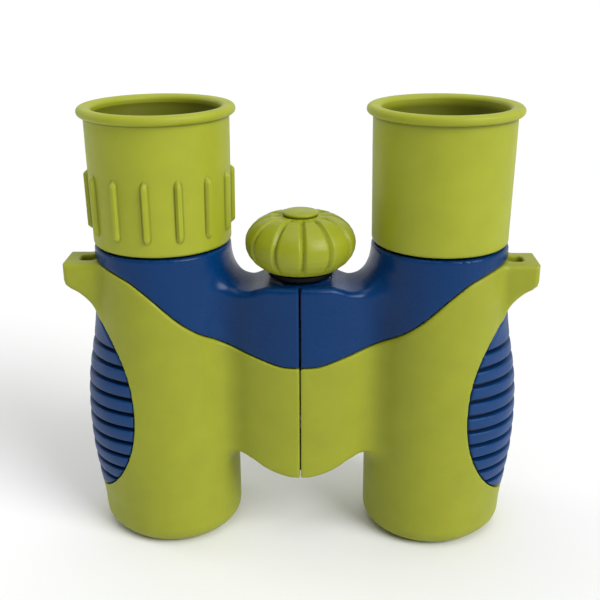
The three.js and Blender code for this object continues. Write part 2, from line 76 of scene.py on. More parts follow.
BARREL_RADIUS = 17.9
BELLY_X = BARREL_X + 5.4  # axis that the swelling under the palm turns about
SKIN = 1.6  # armour thickness
GRIP_SKIN = 2.1
GAP = 0.3
SHELL = SKIN + GAP  # the housing starts this deep under the armour's surface
PARTING = 0.15  # bare housing lies this far under the armour's surface
SEAM = GAP / 2
MOUTH_RADIUS = 12.6  # opening in the armour under the objective

LOBE_RADIUS = 11.2
FACE_RADIUS = 30  # the broad front of the web and hinge lobe
FACE_Y = HINGE_Y - LOBE_RADIUS + FACE_RADIUS
WEB_BACK = 2.4
BACK_CUT = math.radians(58.5)  # the lobe stops here, so that the halves can close
KNUCKLE_RADIUS = 7.6
KNUCKLE_CLEAR = 7.9
AXLE_BORE = 4.5
KNUCKLES = {"left": [(51.4, 60.8), (22.4, 28)], "right": [(62.2, 71.7), (40.6, 50)]}
CHAMBER = (28.3, 40.3)  # room round the focus yoke

LUG = {"inner": 46, "outer": 59.1, "low": 71.7, "top": 76, "front": -9.5, "back": 2.5}
LUG_MIDDLE_Y = (LUG["front"] + LUG["back"]) / 2
LUG_UNDERSIDE = [  # pairs of distance from the hinge's plane and height
    (46, 53), (49.2, 58.5), (51.2, 62.8), (53.2, 66), (55.8, 68.4), (57.9, 69.6), (58.8, 70.4),
]
SLOT = {"near": 51.5, "far": 55.6, "half_width": 2.1, "low": 65.5}

BARREL_RADII = [  # pairs of height and radius
    (0, BARREL_RADIUS), (20, BARREL_RADIUS), (60, 17.95), (70, 17.7), (76, 17.45), (80, 17.3), (90, 17.3),
]
BELLY_RADII = [
    (0, 13.8), (8, 14.2), (16, 15.3), (25, 16.3), (32, 16.55),
    (38, 16.4), (44, 15.9), (52, 14.5), (60, 12.7), (68, 10.8),
]
WAVE = [  # the armour's upper edge, as pairs of distance from the hinge's plane and height
    (-4, 50.8), (3, 50.9), (10.7, 52.8), (18, 55.1), (23.3, 58.1), (29.2, 62.8),
    (37.2, 70.4), (42, 73.7), (48, 75.6), (54, 76.4), (66, 76.4),
]
WEB_TOP = [(-4, 72.2), (7.8, 71.9), (10, 71.2), (12.5, 70.1), (16.6, 69.4), (40, 69.4)]
WEB_BOTTOM = [(-4, 19.6), (2, 19.7), (5, 20.3), (9, 21.7), (12.5, 23.6), (17, 25), (40, 25)]


# ------------------------------------------------------------------ distance fields


def through(points, at):
    """A smooth curve through (position, value) points, without overshoot, read at an array of positions."""
    xs, ys = np.array(points, float).T
    slope = np.diff(ys) / np.diff(xs)
    tangent = np.zeros(len(xs))
    same = slope[1:] * slope[:-1] > 0
    total = slope[1:] + slope[:-1]
    tangent[1:-1][same] = (2 * slope[1:] * slope[:-1])[same] / total[same]
    at = np.clip(at, xs[0], xs[-1])
    i = np.clip(np.searchsorted(xs, at) - 1, 0, len(xs) - 2)
    h = xs[i + 1] - xs[i]
    t = (at - xs[i]) / h
    return (
        (2 * t**3 - 3 * t**2 + 1) * ys[i]
        + (t**3 - 2 * t**2 + t) * h * tangent[i]
        + (3 * t**2 - 2 * t**3) * ys[i + 1]
        + (t**3 - t**2) * h * tangent[i + 1]
    )


def smooth_min(a, b, blend):
    """Two shapes together, with a hollow curve where they meet."""
    near = np.maximum(blend - np.abs(a - b), 0) / blend
    return np.minimum(a, b) - near**2 * blend / 4


def round_max(a, b, radius):
    """What two shapes share, with the edge between them rounded."""
    a, b = a + radius, b + radius
    return np.hypot(np.maximum(a, 0), np.maximum(b, 0)) + np.minimum(np.maximum(a, b), 0) - radius


def outline_distance(x, y, corners):
    """Distance to a closed outline, negative inside it."""
    corners = [np.array(c, float) for c in corners]
    nearest = np.full(np.broadcast(x, y).shape, 1e9)
    inside = np.zeros(nearest.shape, bool)
    for a, b in zip(corners, corners[1:] + corners[:1]):
        edge = b - a
        t = np.clip(((x - a[0]) * edge[0] + (y - a[1]) * edge[1]) / (edge @ edge), 0, 1)
        nearest = np.minimum(nearest, np.hypot(x - a[0] - t * edge[0], y - a[1] - t * edge[1]))
        if a[1] != b[1]:
            crossing = a[0] + (y - a[1]) * edge[0] / edge[1]
            inside ^= ((a[1] > y) != (b[1] > y)) & (x < crossing)
    return np.where(inside, -nearest, nearest)


def from_hinge(x, y):
    """Distance from the hinge's axis."""
    return np.hypot(x, y - HINGE_Y)


def from_barrel(x, y):
    """Distance from the barrel's axis."""
    return np.hypot(x - BARREL_X, y)


def lobe_sector(x, y):
    """One half's share of the hinge lobe, between the seam and the back face."""
    back = -(x - SEAM) * math.sin(BACK_CUT) + (y - HINGE_Y) * math.cos(BACK_CUT)
    return round_max(SEAM - x, back, 0.4)


def web(x, y, z):
    """The web and hinge lobe of one half: a broad face in front, and the round lobe behind."""
    face = np.hypot(x, y - FACE_Y) - FACE_RADIUS
    bridge = np.maximum(y - WEB_BACK, x - BARREL_X)
    lobe = from_hinge(x, y) - LOBE_RADIUS
    behind = np.clip((y + 2) / 4, 0, 1)  # the web runs into the lobe in a curve on its back only
    plan = np.maximum(face, smooth_min(bridge, lobe, 0.2 + 4 * behind))
    plan = round_max(plan, z - through(WEB_TOP, x), 1.6)
    plan = round_max(plan, through(WEB_BOTTOM, x) - z, 1.2)
    return round_max(plan, lobe_sector(x, y), 0.4)


def body(x, y, z):
    """The whole outside of one half, without the strap lug."""
    barrel = from_barrel(x, y) - through(BARREL_RADII, z)
    belly = np.hypot(x - BELLY_X, y) - through(BELLY_RADII, z)
    tube = round_max(smooth_min(barrel, belly, 2), -z, 4.6)
    near_top = np.clip((z - 62) / 8, 0, 1)  # the curve between barrel and web broadens there
    return smooth_min(tube, web(x, y, z), 6 + 3 * near_top)


def above_wave(x, z):
    """Height over the armour's upper edge, square to it."""
    rise = through(WAVE, x + 0.5) - through(WAVE, x - 0.5)
    return (z - through(WAVE, x)) / np.sqrt(1 + rise**2)


def strap_lug(x, y, z):
    """The lug beside the barrel, with a curved underside."""
    inner, outer, top = LUG["inner"], LUG["outer"], LUG["top"]
    under_x = np.linspace(inner, outer - 0.3, 24)[::-1]
    side = [(inner, top), (outer, top), (outer, LUG["low"]), *zip(under_x, through(LUG_UNDERSIDE, under_x))]
    flank = np.abs(y - LUG_MIDDLE_Y) - (LUG["back"] - LUG["front"]) / 2
    return round_max(outline_distance(x, z, side), flank, 1.4)


def strap_slot(x, y, z):
    """The upright slot through the lug."""
    across = np.abs(y - LUG_MIDDLE_Y) - SLOT["half_width"]
    hole = round_max(x - SLOT["far"], round_max(SLOT["near"] - x, across, 0.6), 1.2)
    return np.maximum(hole, SLOT["low"] - z)


GRIP = {"z": 37.6, "half_height": 26.2, "half_arc": 20.9, "power": 2.1}
GRIP_CORNERS = 48


def power_curve(angle, power):
    """A point of a superellipse that is one wide and one high each way."""
    c, s = math.cos(angle), math.sin(angle)
    return math.copysign(abs(c) ** (2 / power), c), math.copysign(abs(s) ** (2 / power), s)


GRIP_OUTLINE = [
    (GRIP["half_arc"] * u, GRIP["z"] + GRIP["half_height"] * v)
    for u, v in (power_curve(2 * math.pi * i / GRIP_CORNERS, GRIP["power"]) for i in range(GRIP_CORNERS))
]


def grip_outline(x, y, z):
    """Distance to the edge of the side grip, laid out round the barrel."""
    around = np.arctan2(y, x - BARREL_X) * BARREL_RADIUS
    return outline_distance(around, z, GRIP_OUTLINE)


def armour(x, y, z):
    """The rubber shell of one half, with its lug."""
    outside = body(x, y, z)
    solid = round_max(smooth_min(outside, strap_lug(x, y, z), 1.6), -(outside + SKIN), 0.2)
    solid = round_max(solid, above_wave(x, z), 0.45)
    solid = round_max(solid, -grip_outline(x, y, z), 0.4)
    solid = round_max(solid, MOUTH_RADIUS - from_barrel(x, y), 0.6)
    solid = round_max(solid, KNUCKLE_CLEAR - from_hinge(x, y), 0.2)
    return round_max(solid, -strap_slot(x, y, z), 0.5)


GROOVES = {
    "count": 10, "first": 17.4, "pitch": 4.13,
    "depth": 1.3, "half_width": 0.78, "wall": 0.5, "pillow": 0.22,
}


def from_groove(z):
    """Distance in height from the middle of the nearest groove."""
    step = np.round((z - GROOVES["first"]) / GROOVES["pitch"])
    return np.abs(z - GROOVES["first"] - np.clip(step, 0, GROOVES["count"] - 1) * GROOVES["pitch"])


def groove_share(z):
    """0 between the grooves, and 1 on the floor of one."""
    near = np.clip((GROOVES["half_width"] - from_groove(z)) / GROOVES["wall"], 0, 1)
    return near * near * (3 - 2 * near)


def side_grip(x, y, z):
    """The grip's ribs, each slightly crowned, with grooves between them."""
    outside = body(x, y, z)
    pillow = GROOVES["pillow"] * np.clip(1 - 2 * from_groove(z) / GROOVES["pitch"], 0, 1) ** 2
    groove = GROOVES["depth"] * groove_share(z) + pillow
    solid = round_max(outside + groove, grip_outline(x, y, z) + GAP, 0.5)
    return round_max(solid, -(outside + GRIP_SKIN), 0.2)


def bore_radius(z):
    """The barrel's bore, which widens in steps from the objective to the eyepiece."""
    return np.select([z < 3.6, z < 40, z < 71], [12, 13.8, 14.5], 15.1)


def hinge_rings(side, z):
    """Distance in height from this half's own hinge knuckles."""
    return np.minimum.reduce([np.abs(z - (a + b) / 2) - (b - a) / 2 for a, b in KNUCKLES[side]])


def housing(side):
    """Field of a half's housing, which holds that half's hinge knuckles."""

    def field(x, y, z):
        outside = body(x, y, z)
        uncovered = GAP - above_wave(x, z)
        solid = round_max(outside + PARTING, np.minimum(outside + SHELL, uncovered), 0.4)
        solid = round_max(solid, z - NECK_TOP, 0.6)
        hinge = from_hinge(x, y)
        own = hinge_rings(side, z)
        solid = np.maximum(solid, -np.maximum(hinge - KNUCKLE_CLEAR, -own))
        chamber = np.maximum(hinge - KNUCKLE_CLEAR - GAP, np.maximum(CHAMBER[0] - z, z - CHAMBER[1]))
        solid = np.maximum(solid, -chamber)
        solid = np.minimum(solid, round_max(hinge - KNUCKLE_RADIUS, own, 0.3))
        solid = round_max(solid, AXLE_BORE - hinge, 0.2)
        return np.maximum(solid, bore_radius(z) - from_barrel(x, y))

    return field


# ------------------------------------------------------------------ meshes


def surface_net(field, low, high, step):
    """Points and quads round the zero level of a field, on a grid between two corners."""
    axes = [np.arange(a, b + step, step) for a, b in zip(low, high)]
    value = field(*np.meshgrid(*axes, indexing="ij", sparse=True))
    shape = value.shape
    crossings, cells, quads = [], [], []
    for axis in range(3):
        beyond = np.eye(3, dtype=int)[axis]
        first = value[tuple(slice(0, n - beyond[a]) for a, n in enumerate(shape))]
        second = value[tuple(slice(beyond[a], n) for a, n in enumerate(shape))]
        start = np.argwhere((first < 0) != (second < 0))
        a = value[tuple(start.T)]
        b = value[tuple((start + beyond).T)]
        point = start + np.outer(a / (a - b), beyond)
        u, v = np.eye(3, dtype=int)[(axis + 1) % 3], np.eye(3, dtype=int)[(axis + 2) % 3]
        around = [start, start - u, start - u - v, start - v]
        flat = np.array([np.ravel_multi_index(c.T, shape) for c in around])
        crossings += [point] * 4
        cells += list(flat)
        quads.append(np.where(a < 0, flat, flat[::-1]).T)
    keys, index = np.unique(np.concatenate(cells), return_inverse=True)
    point = np.concatenate(crossings)
    count = np.bincount(index)
    mean = np.array([np.bincount(index, point[:, a]) / count for a in range(3)]).T
    return settle(field, mean * step + np.array(low), step), np.searchsorted(keys, np.concatenate(quads))


def settle(field, point, step):
    """Moves points of a rough net onto the field's zero level, by at most 0.3 of a step at a time."""
    reach = 0.05
    for _ in range(3):
        value = field(*point.T)
        ahead = [field(*(point + reach * unit).T) - field(*(point - reach * unit).T) for unit in np.eye(3)]
        slope = np.array(ahead).T / (2 * reach)
        size = np.maximum((slope**2).sum(1), 0.3)
        move = -(value / size)[:, None] * slope
        point = point + np.clip(move, -0.3 * step, 0.3 * step)
    return point


BODY_OF = {node: name for name, nodes in frame["record"]["behaviour"]["bodies"].items() for node in nodes}
SLOT_OF = {part["node"]: part["material_slot"] for part in frame["record"]["subparts"]}
DEEP = -0.2  # value of "proud" at which a groove takes its full painted shade


def mark_edges(mesh):
    """Stores how far each point stands proud of its neighbours: above 0 on an edge, below 0 in a groove."""
    count = len(mesh.vertices)
    place = np.zeros(count * 3)
    normal = np.zeros(count * 3)
    ends = np.zeros(len(mesh.edges) * 2, int)
    mesh.vertices.foreach_get("co", place)
    mesh.vertex_normals.foreach_get("vector", normal)
    mesh.edges.foreach_get("vertices", ends)
    place, normal, ends = place.reshape(-1, 3), normal.reshape(-1, 3), ends.reshape(-1, 2)
    both = np.concatenate([ends, ends[:, ::-1]])
    step = place[both[:, 1]] - place[both[:, 0]]
    drop = -(step * normal[both[:, 0]]).sum(1) / np.maximum(np.linalg.norm(step, axis=1), 1e-9)
    neighbours = np.maximum(np.bincount(both[:, 0], minlength=count), 1)
    proud = np.bincount(both[:, 0], drop, minlength=count) / neighbours
    proud = (proud + np.bincount(both[:, 0], proud[both[:, 1]], minlength=count) / neighbours) / 2
    mesh.attributes.new("proud", "FLOAT", "POINT").data.foreach_set("value", proud)


def piece(node, points, faces, material, mirrored=False):
    """A smooth mesh that stands for a CAD node and rides on its body."""
    points = np.array(points, float)
    if mirrored:
        points = points * (-1, 1, 1)
        faces = np.array(faces)[:, ::-1]
    mesh = bpy.data.meshes.new(f"{node}_smooth")
    mesh.from_pydata((points * MM).tolist(), [], [list(map(int, face)) for face in faces])
    mesh.validate()
    mesh.shade_smooth()
    mark_edges(mesh)
    mesh.set_sharp_from_angle(angle=math.radians(40))
    mesh.materials.append(material)
    made = bpy.data.objects.new(mesh.name, mesh)
    bpy.context.scene.collection.objects.link(made)
    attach(made, BODY_OF[node])
    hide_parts(node)
    return made


def paint_shade(made, amount):
    """Marks points for painted shade, from 0 to 1, as if they lay in a groove."""
    stored = made.data.attributes["proud"].data
    proud = np.zeros(len(stored))
    stored.foreach_get("value", proud)
    stored.foreach_set("value", np.minimum(proud, np.where(amount > 0, DEEP * amount, 1)))


def arc(centre_r, centre_z, radius, start, end, steps):
    """Points of an arc in a section, with angles in degrees from outward."""
    angles = np.radians(np.linspace(start, end, steps + 1))
    return [(centre_r + radius * math.cos(a), centre_z + radius * math.sin(a)) for a in angles]


def refined(outline, longest):
    """The same closed outline with no stretch longer than that."""
    made = []
    for a, b in zip(outline, outline[1:] + outline[:1]):
        parts = max(1, math.ceil(math.dist(a, b) / longest))
        made += [(a[0] + (b[0] - a[0]) * i / parts, a[1] + (b[1] - a[1]) * i / parts) for i in range(parts)]
    return made


def turned(node, outline, material, sides, relief=None, longest=2.5, painted_shade=None):
    """A ring turned about its node's own axis, from an outline of (radius, height) points.

    relief(angle, r, z) is how far a point stands out of it, and the last argument, a function of (r, z),
    says which points take painted shade.
    """
    centre = middle(node)
    section = np.array(refined(outline, longest))
    ahead = np.roll(section, -1, 0) - np.roll(section, 1, 0)
    normal = np.array([ahead[:, 1], -ahead[:, 0]]).T / np.maximum(np.hypot(*ahead.T), 1e-6)[:, None]
    angle = np.arange(sides) * 2 * math.pi / sides
    r = np.tile(section[:, 0], (sides, 1))
    z = np.tile(section[:, 1], (sides, 1))
    if relief:
        out = relief(angle[:, None], r, z)
        r = r + out * normal[:, 0]
        z = z + out * normal[:, 1]
    x = centre[0] + r * np.sin(angle)[:, None]
    y = centre[1] - r * np.cos(angle)[:, None]
    count = len(section)
    index = np.arange(sides * count).reshape(sides, count)
    around = np.roll(index, -1, 0)
    faces = np.stack([index, around, np.roll(around, -1, 1), np.roll(index, -1, 1)], -1).reshape(-1, 4)
    made = piece(node, np.stack([x, y, z], -1).reshape(-1, 3), faces, material)
    # painted shade on the points that the last argument picks out
    if painted_shade:
        paint_shade(made, np.tile(painted_shade(*section.T), sides))


def plain_ring(node, inner, material, bevel=0.25, sides=64):
    """A ring or plug with the box of its CAD node and small rounded edges."""
    low, high = span(node)
    outer = (high[1] - low[1]) / 2
    z0, z1 = low[2], high[2]
    outline = [
        *arc(outer - bevel, z0 + bevel, bevel, -90, 0, 3),
        *arc(outer - bevel, z1 - bevel, bevel, 0, 90, 3),
        *arc(inner + bevel, z1 - bevel, bevel, 90, 180, 3),
        *arc(inner + bevel, z0 + bevel, bevel, 180, 270, 3),
    ]
    turned(node, outline, material, sides)


# ------------------------------------------------------------------ materials


def srgb(red, green, blue):
    """A display colour, 0 to 255, as the linear colour that a shader takes."""
    return [((c / 255 + 0.055) / 1.055) ** 2.4 if c > 10 else c / 255 / 12.92 for c in (red, green, blue)]


def new_material(name):
    material = bpy.data.materials.new(name)
    material.use_nodes = True
    return material, material.node_tree.nodes, material.node_tree.links


def noise(nodes, links, scale, detail):
    """Soft noise of a given number of features to the metre."""
    place = nodes.new("ShaderNodeTexCoord")
    made = nodes.new("ShaderNodeTexNoise")
    made.inputs["Scale"].default_value = scale
    made.inputs["Detail"].default_value = detail
    links.new(place.outputs["Object"], made.inputs["Vector"])
    return made.outputs["Fac"]


def mapped(nodes, links, value, low, high, source=(0.3, 0.7)):
    """A value of the source range brought to the range from low to high."""
    made = nodes.new("ShaderNodeMapRange")
    made.inputs["From Min"].default_value = source[0]
    made.inputs["From Max"].default_value = source[1]
    made.inputs["To Min"].default_value = low
    made.inputs["To Max"].default_value = high
    links.new(value, made.inputs["Value"])
    return made.outputs["Result"]


def blended(nodes, links, below, above, factor):
    """A mix of two colours, each a list of three numbers or an output."""
    made = nodes.new("ShaderNodeMix")
    made.data_type = "RGBA"
    for name, colour in (("A", below), ("B", above)):
        if isinstance(colour, bpy.types.NodeSocket):
            links.new(colour, made.inputs[name])
        else:
            made.inputs[name].default_value = (*colour, 1)
    links.new(factor, made.inputs["Factor"])
    return made.outputs["Result"]


CLOUDS = 160  # patches of slightly different colour, to the metre
GLOSS_PATCHES = 220
EDGE_HIGHLIGHT = (0.08, 0.35)  # values of "proud" between which an edge goes from no painted highlight to a full one
GROOVE = (DEEP, -0.02)  # and those between which a groove goes from full painted shade to none


def moulded(name, colour, roughness, grain=0.25, grain_size=0.35, level=0.35, highlight_strength=0.25, shade_amount=0.4):
    """Moulded rubber or plastic: fine grain, faint clouds, uneven gloss, a painted highlight along edges
    and painted shade in grooves.
    """
    material, nodes, links = new_material(name)
    shader = nodes["Principled BSDF"]
    cloud = mapped(nodes, links, noise(nodes, links, CLOUDS, 4), 0, 1)
    tint = blended(nodes, links, [c * 0.96 for c in colour], [c * 1.04 for c in colour], cloud)
    proud = nodes.new("ShaderNodeAttribute")
    proud.attribute_name = "proud"
    # Painted highlight: points that stand proud, on edges, are lightened towards a paler colour.
    edge = mapped(nodes, links, proud.outputs["Fac"], 0, highlight_strength, EDGE_HIGHLIGHT)
    # Painted shade: points in a groove are darkened towards a near black of the same colour.
    groove = mapped(nodes, links, proud.outputs["Fac"], shade_amount, 0, GROOVE)
    highlighted = blended(nodes, links, tint, [min(1, c * 1.5 + 0.03) for c in colour], edge)
    painted_shade = blended(nodes, links, highlighted, [c * 0.15 for c in colour], groove)
    links.new(painted_shade, shader.inputs["Base Color"])
    gloss = noise(nodes, links, GLOSS_PATCHES, 4)
    links.new(mapped(nodes, links, gloss, roughness - 0.06, roughness + 0.06), shader.inputs["Roughness"])
    bump = nodes.new("ShaderNodeBump")
    bump.inputs["Strength"].default_value = grain
    bump.inputs["Distance"].default_value = 0.0001
    links.new(noise(nodes, links, 1 / (grain_size * MM), 3), bump.inputs["Height"])
    links.new(bump.outputs["Normal"], shader.inputs["Normal"])
    shader.inputs["Specular IOR Level"].default_value = level
    return material


TOOL_MARKS = 900  # fine rings and patches on turned metal, to the metre
DUST = 1600


def metal(name, colour, roughness):
    """Turned metal with fine rings left by the tool."""
    material, nodes, links = new_material(name)
    shader = nodes["Principled BSDF"]
    shader.inputs["Base Color"].default_value = (*colour, 1)
    shader.inputs["Metallic"].default_value = 1
    patches = noise(nodes, links, TOOL_MARKS, 2)
    links.new(mapped(nodes, links, patches, roughness - 0.08, roughness + 0.08), shader.inputs["Roughness"])
    place = nodes.new("ShaderNodeTexCoord")
    rings = nodes.new("ShaderNodeTexWave")
    rings.bands_direction = "Z"
    rings.inputs["Scale"].default_value = TOOL_MARKS
    rings.inputs["Distortion"].default_value = 0.6
    links.new(place.outputs["Object"], rings.inputs["Vector"])
    bump = nodes.new("ShaderNodeBump")
    bump.inputs["Strength"].default_value = 0.15
    bump.inputs["Distance"].default_value = 0.00005
    links.new(rings.outputs["Fac"], bump.inputs["Height"])
    links.new(bump.outputs["Normal"], shader.inputs["Normal"])
    return material


def coated_glass(name, tint):
    """Lens glass with an anti-reflection coating that shows as a tinted gloss, and a trace of dust."""
    material, nodes, links = new_material(name)
    shader = nodes["Principled BSDF"]
    shader.inputs["Base Color"].default_value = (0.9, 0.95, 0.93, 1)
    shader.inputs["Transmission Weight"].default_value = 0.92
    shader.inputs["IOR"].default_value = 1.52
    shader.inputs["Coat Weight"].default_value = 0.8
    shader.inputs["Coat Roughness"].default_value = 0.03
    shader.inputs["Coat Tint"].default_value = (*tint, 1)
    dust = mapped(nodes, links, noise(nodes, links, DUST, 3), 0.02, 0.09, (0.5, 0.8))
    links.new(dust, shader.inputs["Roughness"])
    return material


GREEN = srgb(146, 152, 31)
EYECUP_GREEN = srgb(155, 162, 36)
WHEEL_GREEN = srgb(143, 150, 26)
BLUE = srgb(0, 49, 99)
GRIP_BLUE = srgb(4, 56, 108)
BLACK = (0.003, 0.003, 0.004)
MATERIALS = {
    "armour": moulded("green_rubber", GREEN, 0.5, grain=0.3),
    # the eyecups take extra painted shade on the inner wall of their hollow
    "eyecup": moulded("soft_green_rubber", EYECUP_GREEN, 0.52, grain_size=0.3, shade_amount=0.62),
    "housing": moulded("blue_plastic", BLUE, 0.28, grain=0.1, grain_size=0.5, level=0.18, highlight_strength=0.15),
    # the grip takes strong painted shade in its grooves and a bright painted highlight on its rib edges
    "grip": moulded("blue_rubber", GRIP_BLUE, 0.42, grain_size=0.3, level=0.25, highlight_strength=0.6, shade_amount=0.95),
    "wheel": moulded("green_plastic", WHEEL_GREEN, 0.42, grain=0.15),
    "black": moulded("black_plastic", BLACK, 0.5, grain_size=0.25, level=0.15, highlight_strength=0.02),
    "glass": coated_glass("coated_glass", (0.55, 0.35, 0.9)),
    "steel": metal("turned_steel", (0.32, 0.325, 0.34), 0.34),
    "brass": metal("turned_brass", (0.62, 0.45, 0.18), 0.34),
}


# ------------------------------------------------------------------ the moulded halves


HOUSING_STEP = 0.52


def build_halves():
    """Armour and grip of the left half, the same mirrored for the right, and each half's own housing."""
    # field, lowest and highest corner of its grid, and the grid's step
    shells = {
        "armour": (armour, (-0.5, -20, -1), (LUG["outer"] + 2, 20, 78), 0.45),
        "grip": (side_grip, (40, -19, 10), (59, 19, 66), 0.28),
    }
    for name, (field, low, high, step) in shells.items():
        points, quads = surface_net(field, low, high, step)
        for side in ("left", "right"):
            made = piece(f"{side}_{name}", points, quads, MATERIALS[name], mirrored=side == "right")
            # painted shade along the floor of each of the grip's grooves
            if name == "grip":
                paint_shade(made, groove_share(points[:, 2]))
    for side in ("left", "right"):
        points, quads = surface_net(housing(side), (-9, -20, 0), (56, 20, 81), HOUSING_STEP)
        piece(f"{side}_housing", points, quads, MATERIALS["housing"], mirrored=side == "right")


# ------------------------------------------------------------------ eyepieces

EYECUP = {"bore": 15.6, "wall": 17.1, "rim": 17.85, "rim_z": 112.75}
CUP_HOLLOW = {"radius": 16.2, "low": 100, "high": 112}
RIBBED_EXTRA = 0.2  # the wall that has ribs is this much wider
RIBBED_WALL = EYECUP["wall"] + RIBBED_EXTRA
RIBS = {
    "count": 14, "first": -0.049, "z": 91,
    "height": 1.1, "half_width": 0.95, "half_length": 7.6, "wall": 0.5,
}


def eyecup_outline(wide):
    """Section of an eyecup: a straight wall, a rim rolled outwards, and the hollow inside."""
    bore = EYECUP["bore"]
    wall = EYECUP["wall"] + wide
    rim = EYECUP["rim"] + wide
    return [
        (bore, EYECUP_BASE),
        *arc(wall - 1, EYECUP_BASE + 1, 1, -90, 0, 6),
        (wall + 0.1, 90),
        (wall + 0.3, 104),
        (wall + 0.34, 110.6),
        (wall + 0.44, 111.4),
        *arc(rim, EYECUP["rim_z"], 1.15, -66, 90, 16),
        (rim - 0.9, 113.86),
        *arc(rim - 1.3, 112.7, 1.1, 100, 180, 8),
        (bore + wide, 111),
        (bore + 0.05, 106),
        (bore + 0.05, 101),
    ]


def rib_relief(angle, r, z):
    """Rounded ribs round the wall that turns to set the dioptre."""
    step = 2 * math.pi / RIBS["count"]
    nearest = np.round((angle - RIBS["first"]) / step) * step + RIBS["first"]
    across = (angle - nearest) * RIBBED_WALL
    along = np.maximum(np.abs(z - RIBS["z"]) - (RIBS["half_length"] - 2 * RIBS["half_width"]), 0) / 2
    depth = np.clip((RIBS["half_width"] - np.hypot(across, along)) / RIBS["wall"], 0, 1)
    return np.where(r > RIBBED_WALL - 0.8, RIBS["height"] * depth * depth * (3 - 2 * depth), 0)


def cup_hollow(r, z):
    """Whether a point of the section lies inside the cup, where it takes painted shade."""
    return (r < CUP_HOLLOW["radius"]) & (z > CUP_HOLLOW["low"]) & (z < CUP_HOLLOW["high"])


def lens(node, low_bulge, high_bulge):
    """A round lens with the box of its CAD node."""
    low, high = span(node)
    radius = (high[1] - low[1]) / 2
    z0, z1 = low[2] + low_bulge, high[2] - high_bulge
    steps = 12  # from the axis to the edge
    rise = [(radius * i / steps, 1 - (i / steps) ** 2) for i in range(steps + 1)]
    below = [(max(r, 0.01), z0 - low_bulge * k) for r, k in rise]
    above = [(max(r, 0.01), z1 + high_bulge * k) for r, k in reversed(rise)]
    turned(node, below + above, MATERIALS["glass"], 64)


def build_eyepieces():
    """Eyecups, the right one with ribs, and the sleeve, cell and outer lens inside each."""
    rubber = MATERIALS["eyecup"]
    # painted shade on the inner wall of each cup's hollow
    turned("left_eyecup", eyecup_outline(0), rubber, 128, painted_shade=cup_hollow)
    ribbed = eyecup_outline(RIBBED_EXTRA)
    turned("right_eyecup", ribbed, rubber, RIBS["count"] * 26, rib_relief, 0.45, cup_hollow)
    for side in ("left", "right"):
        low, high = span(f"{side}_eyepiece_sleeve")
        sleeve = [
            (12.2, low[2]), (14.8, low[2]), (14.8, EYECUP_BASE), (15.3, EYECUP_BASE + 0.2),
            *arc(14.8, high[2] - 0.5, 0.5, 0, 90, 4), *arc(12.7, high[2] - 0.5, 0.5, 90, 180, 4),
        ]
        turned(f"{side}_eyepiece_sleeve", sleeve, MATERIALS["black"], 72)
        low, high = span(f"{side}_eyepiece_cell")
        top = high[2]
        cell = [
            (9.3, low[2]), (11.9, low[2]), *arc(11.4, top - 0.5, 0.5, 0, 90, 4), (10, top),
            (9.4, top - 0.3), (9.1, top - 0.9), (8.6, top - 1.0), (8.3, top - 1.6),
            (7.9, top - 1.8), (7.9, top - 2.3), (9.3, top - 2.3),
        ]
        turned(f"{side}_eyepiece_cell", cell, MATERIALS["black"], 72)
        lens(f"{side}_eye_lens_crown", 1.2, 0.8)


# ------------------------------------------------------------------ objectives


def build_objectives():
    """The cell, front ring and outer lens of each objective."""
    for side in ("left", "right"):
        low, high = span(f"{side}_objective_cell")
        bore, seat_bore, seat_low, seat_high = 11.2, 10.1, 15.2, 16.2
        cell = [
            (bore, low[2]), *arc(13, low[2] + 0.4, 0.4, -90, 0, 3), (13.4, high[2]), (bore, high[2]),
            (bore, seat_high), (seat_bore, seat_high), (seat_bore, seat_low), (bore, seat_low),
        ]
        turned(f"{side}_objective_cell", cell, MATERIALS["black"], 72)
        plain_ring(f"{side}_objective_ring", 10.2, MATERIALS["black"])
        lens(f"{side}_objective_crown", 0.7, 1.1)


# ------------------------------------------------------------------ hinge and focus wheel

WHEEL = {"radius": 13.75, "lobes": 12, "first": 0.07, "groove": 0.75, "half_width": 0.95}


def wheel_relief(angle, r, z):
    """Smooth segments with a narrow groove between each pair, which fades at the top and the base."""
    step = 2 * math.pi / WHEEL["lobes"]
    turn = angle - WHEEL["first"]
    across = np.abs(turn - np.round(turn / step) * step) * r
    edge = np.clip(1 - across / WHEEL["half_width"], 0, 1)
    deep = WHEEL["groove"] * edge * edge * (3 - 2 * edge)
    top = np.clip((r - 4.4) / 2, 0, 1)
    base = np.clip((z - WHEEL_BASE - 0.6) / 2, 0, 1)
    return -deep * top * base


def build_wheel():
    """The focus wheel, its cap and the collar under it."""
    base, top = WHEEL_BASE, span("focus_wheel")[1][2]
    waist = base + 6.7
    recess = 84.3
    outline = [
        (3.2, base), (8, base), (9.9, base + 0.6), (11.8, base + 2.1), (13, base + 3.7), (13.6, base + 5.2),
        (WHEEL["radius"], waist), (13.6, waist + 1.3), (13.1, waist + 2.5), (12.2, waist + 3.8),
        (10.9, waist + 5), (9.2, waist + 6), (7.4, waist + 6.6), (5.6, top - 0.15), (4.4, top),
        (3.8, top - 0.2), (3.8, recess), (3.2, recess),
    ]
    turned("focus_wheel", outline, MATERIALS["wheel"], WHEEL["lobes"] * 24, wheel_relief, 0.6)
    low, high = span("focus_wheel_cap")
    cap = [
        (0.02, low[2]), (3.5, low[2]), (3.5, top + 0.1), (4.1, top + 0.1),
        *arc(4.05, top + 0.6, 0.4, -60, 70, 6), (3.4, high[2] - 0.1), (2, high[2]), (0.02, high[2]),
    ]
    turned("focus_wheel_cap", cap, MATERIALS["wheel"], 64)
    plain_ring("focus_collar", 4.5, MATERIALS["black"], 0.3, 96)


